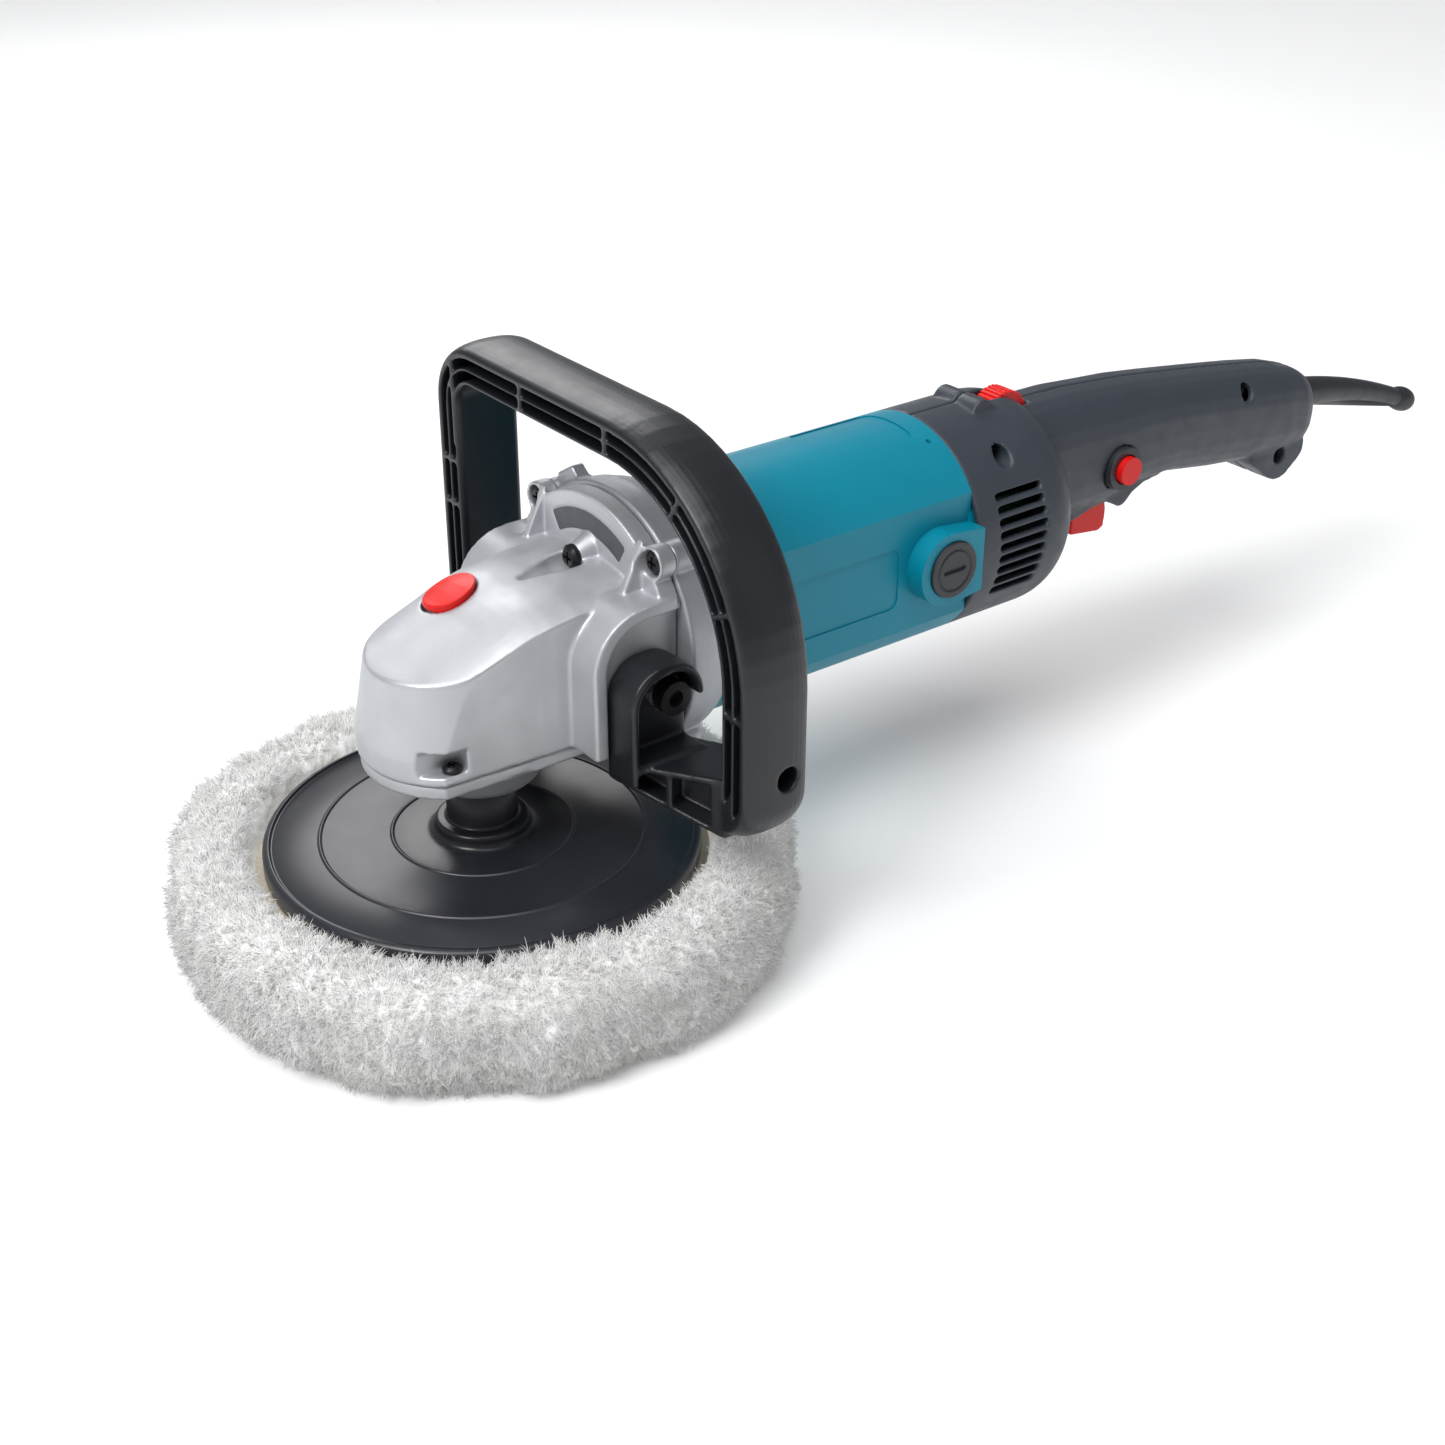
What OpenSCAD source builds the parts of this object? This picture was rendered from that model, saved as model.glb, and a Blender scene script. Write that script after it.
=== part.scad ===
// Rotary polisher: an angle head with a lambswool pad, a barrel motor, a loop front handle
// and a clamshell rear grip. Origin: middle of the pad's bottom face, on the spindle axis.
// +Z is up, +X runs from the head to the rear grip.

/* [Pad] */
// Outer radius of the wool ring
pad_r = 115; // [108:1:120]
// Height of the wool ring
pad_h = 43; // [40:1:46]
// Radius of the backing plate
plate_r = 80; // [74:1:82]
// Height of the backing plate's top face
plate_top = 38; // [37:0.5:39]

/* [Head] */
// Height of the motor axis
motor_z = 107; // [106.5:0.1:107.5]
// Lowest point of the bearing box
box_bottom = 62; // [61:0.5:62.5]
// Joint between the gear case and the bearing box
case_bottom = 78; // [77:0.5:79]
// Radius on which the flange screws sit
screw_circle_r = 51; // [50:0.5:52]
// Turn of the bevel pair: teeth on the output gear
gear_teeth = 36; // [36:1:36]
// Teeth on the pinion
pinion_teeth = 9; // [9:1:9]

/* [Barrel] */
// Outer radius of the motor housing
barrel_r = 45; // [44:0.5:46]
// Wall of the motor housing and of the grip
wall = 3; // [2.6:0.1:3.4]
// Front end of the motor housing
barrel_x0 = 78.3; // [78:0.1:78.6]
// Joint between the motor housing and the grip
barrel_x1 = 202; // [201:0.5:203]
// Place of the brushes along the motor axis
brush_x = 186; // [185:0.5:187]

/* [Loop handle] */
// Half of the loop's outer width
loop_w = 97.5; // [95:0.5:100]
// Height of the loop's top
loop_top = 192; // [188:1:195]
// Depth of the loop's bar, front to back
loop_depth = 28; // [26:0.5:30]
// Thickness of the loop's bar
loop_t = 16; // [15:0.5:17]
// Front face of the loop's bar
loop_x = 46; // [45:0.5:47]

/* [Controls] */
// How far the spindle lock button goes down
lock_travel = 4; // [3.5:0.1:4]
// How far the trigger goes up
trigger_travel = 6; // [4:0.5:6]
// How far the lock-on button goes in
lock_on_travel = 3; // [2:0.5:3]

/* [Hidden] */
$fn = 64;
fit = 0.05;            // radial clearance of a running fit
seam = 0.05;           // half of the gap at a joint face
spindle_r = 7;
lock_y = 14.5;          // axis of the spindle lock, above the gear's ring of four holes
lock_floor = 119.2;     // bottom of the button's pocket
lock_r = 9.5;
arch_x = 9;            // where the head's sides bend
flange_x0 = 50;         // front and rear face of the head's flange
flange_x1 = 58;
screw_seat_x = 54.5;    // seats of the flange screws
retainer_x = 43.5;      // seat of the single screw in the head's groove
retainer_z = 135;
groove_z = 135.6;        // axis of the groove in front of that screw
pocket_floor = 82;       // seat of the two screws in the front corner pockets
lug_bolt_x = 48.5;       // axis of the two bolts that hold the loop handle
lug_bolt_z = 98.8;
cover_seat_x = 59.5;    // where the front bearing sits in the gear cover
dial_x = 251;
dial_z = 141.3;
dial_r = 11;
lock_on_x = 305;
lock_on_z = 111.5;
commutator_r = 13;
barrel_flat_y = barrel_r - 7.5;   // distance of the barrel's side flats from its axis
barrel_flat_x = 98;               // where the flats start

// ---------- helpers ----------

// A cylinder along X from x0 to x1, on the motor axis unless placed elsewhere
module rod_x(r, x0, x1, y = 0, z = motor_z)
    translate([x0, y, z]) rotate([0, 90, 0]) cylinder(r = r, h = x1 - x0);

// A cylinder along Y from y0 to y1
module rod_y(r, y0, y1, x, z)
    translate([x, y1, z]) rotate([90, 0, 0]) cylinder(r = r, h = y1 - y0);

// A cylinder along Z from z0 to z1
module rod_z(r, z0, z1, x = 0, y = 0)
    translate([x, y, z0]) cylinder(r = r, h = z1 - z0);

module ring_x(r_out, r_in, x0, x1, y = 0, z = motor_z)
    difference() {
        rod_x(r_out, x0, x1, y, z);
        rod_x(r_in, x0 - 1, x1 + 1, y, z);
    }

module ring_z(r_out, r_in, z0, z1)
    difference() {
        rod_z(r_out, z0, z1);
        rod_z(r_in, z0 - 1, z1 + 1);
    }

// A box given by its low and high corners
module block(low, high)
    translate(low) cube(high - low);

// The children and their mirror image on the other side of the tool
module both_sides() {
    children();
    mirror([0, 1, 0]) children();
}

// Points on an arc from angle a0 to a1, in steps of about 6 degrees
function arc(cx, cy, r, a0, a1) =
    let (n = max(2, ceil(abs(a1 - a0) / 6)))
    [for (i = [0:n]) let (a = a0 + (a1 - a0) * i / n) [cx + r * cos(a), cy + r * sin(a)]];

// Extrudes a side outline (points in X and Z) along Y
module side_outline(points, y0, y1)
    translate([0, y1, 0]) rotate([90, 0, 0]) linear_extrude(y1 - y0) polygon(points);

// A coil spring standing on Z, swept as one closed tube
module coil(r, wire, turns, height) {
    steps = 12;
    n = round(turns * steps);
    sides = 5;
    rings = [for (i = [0:n])
        let (a = 360 * i / steps, z = wire + (height - 2 * wire) * i / n)
        [for (j = [0:sides - 1])
            let (b = 360 * j / sides, q = r + wire * cos(b))
            [q * cos(a), q * sin(a), z + wire * sin(b)]]];
    points = [for (ring = rings) for (p = ring) p];
    walls = [for (i = [0:n - 1]) for (j = [0:sides - 1])
        let (k = (j + 1) % sides)
        [i * sides + j, (i + 1) * sides + j, (i + 1) * sides + k, i * sides + k]];
    first = [for (j = [0:sides - 1]) j];
    last = [for (j = [sides - 1:-1:0]) n * sides + j];
    polyhedron(points, concat(walls, [first, last]), convexity = 10);
}

// A pan-head screw whose head sits on z = 0 and whose shank points down
module pan_screw(head_r, head_h, shank_r, length)
    difference() {
        union() {
            cylinder(r = head_r, h = head_h * 0.6);
            translate([0, 0, head_h * 0.6]) cylinder(r1 = head_r, r2 = head_r * 0.7, h = head_h * 0.4);
            translate([0, 0, -length]) cylinder(r = shank_r, h = length + 0.01);
        }
        for (a = [0, 90])
            rotate([0, 0, a])
                translate([-head_r * 0.55, -0.5, head_h - 1.2]) cube([head_r * 1.1, 1, 2]);
    }

// ---------- pad and plate ----------

module wool_pad() {
    lip_r = plate_r + 5;
    crown = 12;
    points = concat(
        [[0, 0]],
        arc(pad_r - crown, crown, crown, -90, 0),
        arc(pad_r - crown - 4, pad_h - crown - 4, crown + 4, 0, 90),
        arc(lip_r + 8, pad_h - 8, 8, 90, 180),
        [[lip_r, 22.6], [0, 22.6]]);
    color("whitesmoke") rotate_extrude($fn = 96) polygon(points);
}

module pad_backing()
    color("wheat") ring_z(plate_r + 3, 9, 23, 29.7);

module backing_plate() {
    hub_r = 13;
    collar_r = 17.5;
    points = concat(
        [[spindle_r + fit, 30], [plate_r - 1, 30], [plate_r, 31]],
        arc(plate_r - 2, plate_top - 2, 2, 0, 90),
        [[plate_r - 8, plate_top], [collar_r + 3, plate_top + 0.6], [collar_r, plate_top + 2.6],
         [collar_r, plate_top + 4.5], [collar_r - 2, plate_top + 6.5], [hub_r, plate_top + 7.5],
         [hub_r, box_bottom - 1.5], [spindle_r + fit, box_bottom - 1.5]]);
    color("#1c1c1e") {
        rotate_extrude($fn = 96) polygon(points);
        for (r = [33.2, 59.3])
            difference() {
                rod_z(r + 0.6, plate_top - 0.1, plate_top + 0.5 * (80 - r) / 60 + 0.5);
                rod_z(r - 0.6, plate_top - 1, plate_top + 3);
            }
    }
}

// ---------- output spindle ----------

module spindle()
    color("silver") difference() {
        union() {
            rod_z(spindle_r, 34, box_bottom + 2);
            rod_z(10, box_bottom - 1, box_bottom + 4);
            rod_z(7.5, box_bottom + 4, 98);
            rod_z(5, 98, 117);
        }
        block([4.5, -1.25, 86], [9, 1.25, 94]);
        ring_z(9, 7, 94.6, 95.8);
    }

function gear_line(r) = motor_z - r * pinion_teeth / gear_teeth;   // pitch line of the bevel pair

module output_gear()
    color("dimgray") difference() {
        union() {
            rotate_extrude() polygon([[7.55, 85], [26, 85], [26, gear_line(26) - 1.5],
                [19.5, gear_line(19.5) - 1.5], [18.5, 94.4], [7.55, 94.4]]);
            for (i = [0:gear_teeth - 1])
                rotate([0, 0, i * 360 / gear_teeth])
                    side_outline([[19.8, 94], [26, 94], [26, gear_line(26) + 0.9],
                        [19.8, gear_line(19.8) + 0.9]], -0.5, 0.5);
        }
        for (a = [0:90:270])
            rotate([0, 0, a]) rod_z(2.9, 84, 100, 0, lock_y);
        block([7, -1.25, 84], [9.2, 1.25, 95]);
    }

module gear_key()
    color("darkgray") block([5, -1.2, 86.2], [9, 1.2, 93.8]);

module gear_clip()
    color("dimgray") difference() {
        rotate_extrude() polygon([[7.05, 94.7], [9.4, 94.7], [9.4, 95.7], [7.05, 95.7]]);
        block([5, -3, 94], [12, 3, 97]);
    }

// A shielded ball bearing along Z, drawn as its race ring with a groove on each face
module bearing(r_out, r_in, width)
    difference() {
        cylinder(r = r_out, h = width);
        translate([0, 0, -1]) cylinder(r = r_in, h = width + 2);
        for (z = [-1, width - 0.6])
            translate([0, 0, z]) difference() {
                cylinder(r = r_out - 2.2, h = 1.6);
                translate([0, 0, -1]) cylinder(r = r_in + 1.8, h = 4);
            }
    }

module lower_bearing()
    color("silver") translate([0, 0, 67]) bearing(16, 7.5 + fit, 11);

module upper_bearing()
    color("silver") translate([0, 0, 108.5]) bearing(8, 5 + fit, 9);

module spindle_seal()
    color("black") ring_z(14.9, 10.3, 64, 66.4);

module bearing_retainer()
    color("gray") ring_z(20.5, 10, 78.2, 80);

module bearing_box() {
    points = [[10.8, box_bottom], [20, box_bottom], [22, box_bottom + 2], [24.5, 69],
              [29, 74.5], [29, case_bottom - seam], [16, case_bottom - seam],
              [16, 66.8], [15, 66.8], [15, 63.8], [10.8, 63.8]];
    color("gainsboro") {
        rotate_extrude() polygon(points);
        difference() {
            intersection() {
                head_plan(-1);
                block([-50, -40, 73], [32, 40, case_bottom - seam]);
            }
            rod_z(28, 70, 80);
            box_screw_places() cylinder(r = 2.1, h = 40, center = true);
        }
    }
}

module box_screw_places() {
    front_screw_places() children();
    rear_screw_places() children();
}

module front_screw_places()
    both_sides() translate([-25, 24, 73]) children();

module rear_screw_places()
    both_sides() translate([24.5, 22.5, 73]) children();

// The front two stand heads up in the gear case's corner pockets, the rear two hang below
module bearing_box_screws()
    color("#222222") {
        front_screw_places() translate([0, 0, pocket_floor - 73]) pan_screw(3.4, 2.4, 2, 8.5);
        rear_screw_places() rotate([180, 0, 0]) pan_screw(3.6, 2.4, 2, 12);
    }

// ---------- gear case ----------

// The head seen from above: a round nose and nearly straight sides
module head_plan(grow = 0) {
    nose_r = 35 + grow;
    half = 28 + grow;
    points = concat(
        [[51, 31 + grow], [arch_x, 30 + grow]],
        arc(-9, 0, nose_r, 180 - asin(half / nose_r), 180 + asin(half / nose_r)),
        [[arch_x, -30 - grow], [51, -31 - grow]]);
    linear_extrude(200) polygon(points);
}

// Stations of the head's roof along X: [x, height]
roof_stations = [[-60, 107], [-44, 112], [-36, 115], [-30, 117], [-22, 119.8], [-15, 122.3], [-7, 125.2],
                 [-2, 127.3], [3, 129.2], [8, 130.7], [14, 132], [24, 133.4], [42, 135], [60, 136]];

// A solid under the head's roof, which is nearly flat across and rounds off towards its eaves
module under_roof(lift) {
    eave_y = 28;
    eave_drop = 4;
    across = [for (y = [-39:3.25:39]) y];
    side = len(across) + 2;
    last = (len(roof_stations) - 1) * side;
    points = [for (s = roof_stations) each concat(
        [[s[0], -39, 0]],
        [for (y = across) [s[0], y, s[1] + lift - eave_drop * pow(abs(y) / eave_y, 3)]],
        [[s[0], 39, 0]])];
    walls = [for (base = [0:side:last - side]) for (i = [0:side - 1])
        let (k = (i + 1) % side, p = base + i, q = base + k)
        each [[p, q + side, p + side], [p, q, q + side]]];
    front = [for (i = [side - 1:-1:0]) i];
    back = [for (i = [0:side - 1]) last + i];
    polyhedron(points, concat(walls, [front, back]), convexity = 4);
}

// The head's outer shape, raised by lift and cut off below the bottom height
module head_shape(bottom, lift = 0) {
    intersection() {
        block([-55, -60, bottom], [60, 60, 160]);
        head_plan();
        under_roof(lift);
        union() {
            translate([-9, 0, 60]) cylinder(r1 = 40, r2 = 22, h = 100);
            block([-9, -60, bottom], [60, 60, 160]);
        }
    }
}

// Places a child on each flange screw, its Z axis pointing to the front
module flange_screw_places()
    for (a = [45:90:315])
        translate([0, screw_circle_r * sin(a), motor_z + screw_circle_r * cos(a)])
            rotate([0, -90, 0]) children();

// Outline of a side pad: flat rear and bottom, one large round corner at the top front
function pad_outline(x0, x1, z0, z1, r) =
    concat([[x1, z0], [x1, z1]], arc(x0 + r, z1 - r, r, 90, 180), [[x0, z0]]);

module gear_case() {
    color("gainsboro") difference() {
        union() {
            head_shape(case_bottom + seam);
            rod_x(49.5, flange_x0, flange_x1);
            flange_screw_places() translate([0, 0, -flange_x1])
                cylinder(r = 6.2, h = flange_x1 - flange_x0 - 1);
            both_sides() {
                side_outline(pad_outline(20.5, 56, case_bottom + seam, 132, 22), 26, 45);
                side_outline([[39, 126], [51, 126], [51, 150.5]], 28.8, 32.2);
            }
        }
        rod_z(27, 60, 104);
        rod_x(15, 13, 60);
        rod_z(8, 100, 117.6);
        rod_z(14, 103.9, 108);
        rod_z(2.55, 100, 124, 0, lock_y);
        rod_z(lock_r + 0.4, lock_floor, 150, 0, lock_y);
        flange_screw_places() {
            translate([0, 0, -60]) cylinder(r = 2.2, h = 20);
            translate([0, 0, -screw_seat_x]) cylinder(r = 4.9, h = 12);
        }
        rod_x(2.05, 40, 57, 0, retainer_z);
        rod_x(6.6, 36, retainer_x, 0, groove_z);
        translate([17, 0, groove_z]) rotate([0, 90, 0]) cylinder(r1 = 1.5, r2 = 6.6, h = 19.01);
        intersection() {
            ring_x(43, 35, flange_x0 - 1, flange_x0 + 0.7);
            band_sector();
        }
        both_sides() rod_y(4.2, 30, 50, lug_bolt_x, lug_bolt_z);
        both_sides() block([-40, 20.4, pocket_floor], [-21, 33, 91]);
        both_sides() side_outline(pad_outline(26, 60, 50, 127.5, 18), 42, 60);
        box_screw_places() cylinder(r = 2.1, h = 14);
    }
}

// The part of a disc around the motor axis that the dark flange band covers
module band_sector()
    translate([40, 0, motor_z]) rotate([90, 0, 90])
        linear_extrude(20) polygon(concat([[0, 0]], arc(0, 0, 60, 57, 121)));

module flange_band()
    color("#55575c") intersection() {
        ring_x(42.9, 35.1, flange_x0 + 0.2, flange_x0 + 0.65);
        band_sector();
    }

module gear_case_screws()
    color("#1a1a1a") flange_screw_places() translate([0, 0, -screw_seat_x]) pan_screw(4.4, 3, 2, 13);

module retainer_screw()
    color("#1a1a1a") translate([retainer_x, 0, retainer_z]) rotate([0, -90, 0]) pan_screw(4.6, 3, 2, 9.5);

// ---------- spindle lock ----------

module spindle_lock_button()
    color("red") difference() {
        intersection() {
            rod_z(lock_r, lock_floor + lock_travel + 0.5, 145, 0, lock_y);
            head_shape(100, 1.9);
        }
        rod_z(2.5, 115, lock_floor + 6.6, 0, lock_y);
        rod_z(4.2, 115, lock_floor + 6.2, 0, lock_y);
    }

module lock_pin()
    color("silver") rod_z(2.5, 95.6, lock_floor + 6.6, 0, lock_y);

module lock_spring()
    color("silver") translate([0, lock_y, lock_floor + 0.1]) coil(3.5, 0.35, 2, 6);

// ---------- gear cover ----------

module gear_cover() {
    ear_x = 66;
    ear_r = 5.6;
    color("gainsboro") difference() {
        union() {
            translate([0, 0, motor_z]) rotate([0, 90, 0])
                rotate_extrude($fn = 96) polygon([[0, flange_x1 + 0.1], [50.5, flange_x1 + 0.1],
                    [51, flange_x1 + 1], [50.5, 68], [48.5, 75], [47, 78.2], [0, 78.2]]);
            flange_screw_places() translate([0, 0, -ear_x]) {
                cylinder(r = ear_r, h = ear_x - flange_x1 - 0.1);
                sphere(r = ear_r);
            }
            ring_lug();
        }
        rod_x(16, cover_seat_x, 72);
        rod_x(12, 50, 62);
        rod_x(44, 69, 80);
        flange_screw_places() translate([0, 0, -ear_x - 2]) cylinder(r = 2.05, h = 20);
    }
}

// The small ribbed lug on top of the cover's ring, towards the far side
module ring_lug()
    translate([59.5, 0, motor_z]) rotate([-32, 0, 0]) difference() {
        rotate([90, 0, 90]) linear_extrude(6) polygon([[-8.5, 47], [8.5, 47], [5.5, 56], [-5.5, 56]]);
        for (y = [-2.4, 2.4])
            block([-1, y - 0.6, 50], [0.8, y + 0.6, 60]);
    }

// ---------- loop handle ----------

near_r = 64;           // inner radius of the large shoulder
far_r = 10;            // inner radius of the tight corner
leg_z = 74;            // height of the arms that join the legs to the head
foot_z = 57;           // lowest point of the legs
foot_r = 14;           // round of the legs' lower outer corners

// The loop's outline in Y and Z, set in from the outer face, with square or rounded feet
function loop_outline(inset, foot_r = 0) =
    let (w = loop_w - inset, top = loop_top - inset, r1 = near_r + loop_t - inset,
         r2 = far_r + loop_t - inset, foot = foot_z + foot_r + inset)
    concat(foot_r == 0 ? [[-w, foot_z - 2]] : arc(-w + foot_r, foot, foot_r, 270, 180),
           arc(-w + r1, top - r1, r1, 180, 90), arc(w - r2, top - r2, r2, 90, 0),
           foot_r == 0 ? [[w, foot_z - 2]] : arc(w - foot_r, foot, foot_r, 0, -90));

// A flat layer of the loop from depth d0 to d1, its faces set in from the bar's full size
module loop_layer(d0, d1, outer_inset, inner_inset)
    translate([loop_x + d0, 0, 0]) rotate([90, 0, 90]) linear_extrude(d1 - d0)
        difference() {
            polygon(loop_outline(outer_inset, foot_r));
            polygon(loop_outline(loop_t - inner_inset));
        }

// One row of the cored pockets in the loop's front face, broken by ribs
module loop_pockets(inset, width, depth)
    difference() {
        intersection() {
            loop_layer(-1, depth, inset, loop_t - inset - width);
            block([loop_x - 2, -200, leg_z - 8], [loop_x + 60, 200, 300]);
        }
        for (y = [-16, 37, 84])
            block([loop_x - 2, y - 1, 150], [loop_x + 60, y + 1, 300]);
        for (z = [106, 125, 143])
            block([loop_x - 2, z == 106 ? -110 : 60, z - 1], [loop_x + 60, z == 106 ? -60 : 110, z + 1]);
        for (a = [25, 57])
            translate([loop_x - 2, -loop_w + near_r + loop_t, loop_top - near_r - loop_t])
                rotate([180 - a, 0, 0]) block([0, 50, -1], [60, 120, 1]);
    }

module loop_handle() {
    lug_x0 = 27;
    lug_x1 = 57.8;
    lug_y = 42.1;
    steps = 8;
    crown = 4;
    crown_depth = 13;
    inner_bevel = 1.5;
    color("#2a2c30") difference() {
        union() {
            for (i = [0:steps - 1]) {
                a0 = 90 * i / steps;
                a1 = 90 * (i + 1) / steps;
                d0 = crown_depth * (1 - cos(a0));
                d1 = crown_depth * (1 - cos(a1));
                set_out = crown * (1 - sin((a0 + a1) / 2));
                set_in = max(0, inner_bevel - d0);
                loop_layer(d0, d1, set_out, set_in);
                loop_layer(loop_depth - d1, loop_depth - d0, set_out, set_in);
            }
            loop_layer(crown_depth, loop_depth - crown_depth, 0, 0);
            both_sides() {
                side_outline(concat([[lug_x1, 62], [lug_x1, 100]], arc(lug_x1 - 14, 101, 14, 0, 90),
                    arc(lug_x0 + 14, 101, 14, 90, 180), [[lug_x0, 72]]), lug_y, 58);
                hull() {
                    block([lug_x0, lug_y, 70], [lug_x1, 46, 77]);
                    block([loop_x + 0.5, 82, foot_z], [loop_x + loop_depth, 84, 80]);
                }
            }
        }
        both_sides() {
            side_outline(concat([[lug_x1 + 5, 79.5], [lug_x1 + 5, 100], [lug_x1 - 2.2, 100]],
                arc(lug_x1 - 14, 100, 11.8, 0, 90), arc(lug_x0 + 14, 100, 11, 90, 180),
                [[lug_x0 + 3, 79.5]]), 46.5, 60);
            rod_y(4.2, 30, 60, lug_bolt_x, lug_bolt_z);
            rod_y(4.6, 88, 110, 64, 81);
            arm_pockets();
        }
        loop_pockets(5.2, 3.5, 12);
        loop_pockets(9.9, 3.8, 12);
    }
}

// Two pockets, with a rib between them, in the slanting front face of a lower arm
module arm_pockets() {
    pocket_depth = 8;
    translate([27, 46, 0]) rotate([0, 0, 61.56]) {
        side_outline([[6, 70], [20, 65.5], [20, 76], [6, 75.3]], -pocket_depth, 3);
        side_outline([[22.5, 64.7], [37, 60.5], [37, 77.3], [22.5, 76.2]], -pocket_depth, 3);
    }
}

module loop_handle_bolts()
    color("#1a1a1a") both_sides() difference() {
        union() {
            rod_y(4, 31, 48.2, lug_bolt_x, lug_bolt_z);
            rod_y(6.5, 48.1, 54, lug_bolt_x, lug_bolt_z);
        }
        rod_y(3, 51, 55, lug_bolt_x, lug_bolt_z);
    }

module loop_handle_washers()
    color("silver") both_sides() difference() {
        rod_y(6.8, 46.6, 48, lug_bolt_x, lug_bolt_z);
        rod_y(4.3, 45, 50, lug_bolt_x, lug_bolt_z);
    }

// ---------- armature ----------

module pinion()
    color("dimgray") difference() {
        union() {
            translate([0, 0, motor_z]) rotate([0, 90, 0])
                rotate_extrude() polygon([[0, 19.8], [19.8 / 4 - 1.3, 19.8],
                    [26.6 / 4 - 1.3, 26.6], [9, 27.5], [9, 33], [0, 33]]);
            for (i = [0:pinion_teeth - 1])
                translate([0, 0, motor_z]) rotate([i * 360 / pinion_teeth, 0, 0])
                    side_outline([[20, 3], [26.2, 3], [26.2, 26.2 / 4 + 0.9], [20, 20 / 4 + 0.9]],
                                 -0.45, 0.45);
        }
        rod_x(3.5, 15, 40);
    }

module pinion_nut()
    color("silver") difference() {
        translate([33.2, 0, motor_z]) rotate([0, 90, 0]) cylinder(r = 8, h = 5, $fn = 6);
        rod_x(4.05, 30, 40);
    }

module armature_shaft()
    color("silver") {
        rod_x(3.45, 20, 33.1);
        rod_x(4, 33.1, 42);
        rod_x(6, 42, 70);
        rod_x(7, 70, 200);
        rod_x(4, 200, 213);
    }

module front_bearing()
    color("silver") translate([cover_seat_x + 0.1, 0, motor_z]) rotate([0, 90, 0]) bearing(16, 6 + fit, 9.3);

module fan() {
    blades = 18;
    color("#3a3a3a") {
        ring_x(12, 7.02, 71, 83);
        ring_x(38, 7.02, 79, 81);
        for (i = [0:blades - 1])
            translate([0, 0, motor_z]) rotate([i * 360 / blades, 0, 0])
                block([71.5, -0.8, 18], [79.5, 0.8, 38]);
    }
}

module baffle_ring()
    color("#2f2f2f") ring_x(41.2, 34, 84, 87);

module armature_core() {
    slots = 14;
    color("slategray") difference() {
        rod_x(21.8, 95, 143);
        rod_x(7.02, 90, 150);
        for (i = [0:slots - 1])
            translate([0, 0, motor_z]) rotate([i * 360 / slots, 0, 0])
                block([90, -1.2, 17], [150, 1.2, 25]);
    }
}

module armature_windings()
    color("chocolate") {
        ring_x(19.5, 7.02, 88, 94.9);
        ring_x(19.5, 7.02, 143.1, 160);
    }

module commutator() {
    bars = 28;
    color("peru") difference() {
        rod_x(commutator_r, 172, 198);
        rod_x(7.02, 170, 200);
        for (i = [0:bars - 1])
            translate([0, 0, motor_z]) rotate([i * 360 / bars, 0, 0])
                block([171, -0.3, 12.2], [199, 0.3, 14]);
    }
}

module rear_bearing()
    color("silver") translate([203.2, 0, motor_z]) rotate([0, 90, 0]) bearing(11, 4 + fit, 7);

module rear_bearing_sleeve()
    color("black") ring_x(12.4, 11, 203.2, 210.2);

// ---------- stator and motor housing ----------

module stator_core()
    color("slategray") difference() {
        rod_x(barrel_r - wall - 0.1, 103, 143);
        barrel_flats(barrel_flat_y - 2.7, 80);
        rod_x(22.6, 90, 150);
        both_sides() intersection() {
            ring_x(33, 22, 90, 150);
            block([90, 4, motor_z - 20], [150, 40, motor_z + 20]);
        }
    }

module field_windings()
    color("chocolate") both_sides() intersection() {
        ring_x(32.5, 23.2, 97, 149.5);
        block([80, 5, motor_z - 19], [160, 40, motor_z + 19]);
    }

// Outline of the raised boss around a brush cap, with its tab running to the rear joint
function brush_boss_outline(r) =
    concat([[barrel_x1, motor_z - r + 2], [barrel_x1, motor_z + r - 2]],
           arc(brush_x - 1, motor_z, r, 80, 280));

module motor_housing() {
    spigot_r = 43.8;
    color("#1590ac") difference() {
        union() {
            difference() {
                rod_x(barrel_r, barrel_x0, barrel_x1);
                barrel_flats(barrel_flat_y, barrel_flat_x);
            }
            rod_x(spigot_r, 74.5, barrel_x0 + 1);
            both_sides() side_outline(brush_boss_outline(15), 33, 46.2);
            rod_x(15, 199, 210.3);
            rod_x(41, barrel_x1 - 1, 206);
        }
        difference() {
            rod_x(barrel_r - wall, 74, 200);
            barrel_flats(barrel_flat_y - 2.6, barrel_flat_x - 2.6);
            both_sides() rod_y(12, 21, 45, brush_x, motor_z);
            rod_x(15, 198.9, 212);
            bearing_spokes();
        }
        difference() {
            ring_x(39, 15, 199, 210);
            bearing_spokes();
        }
        rod_x(12.4, 203.1, 212);
        rod_x(9, 190, 215);
        both_sides() {
            rod_y(9.7, 15, 44, brush_x, motor_z);
            rod_y(11.6, 43, 50, brush_x, motor_z);
            label_recess(107, 166, 93, 118, barrel_flat_y - 0.6);
        }
        intersection() {
            ring_x(barrel_r + 2, barrel_r - 0.6, 152, 192);
            translate([0, 0, motor_z]) rotate([90, 0, 0]) label_recess(152, 192, -15, 15, 20);
        }
        translate([196, -18.3, 146.4]) cylinder(r = 1.1, h = 20);
    }
}

// Spokes that hold the rear bearing's boss in the housing
module bearing_spokes()
    for (a = [45:90:315])
        translate([0, 0, motor_z]) rotate([a, 0, 0]) block([199, -2.5, 14], [204, 2.5, 41]);

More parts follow.
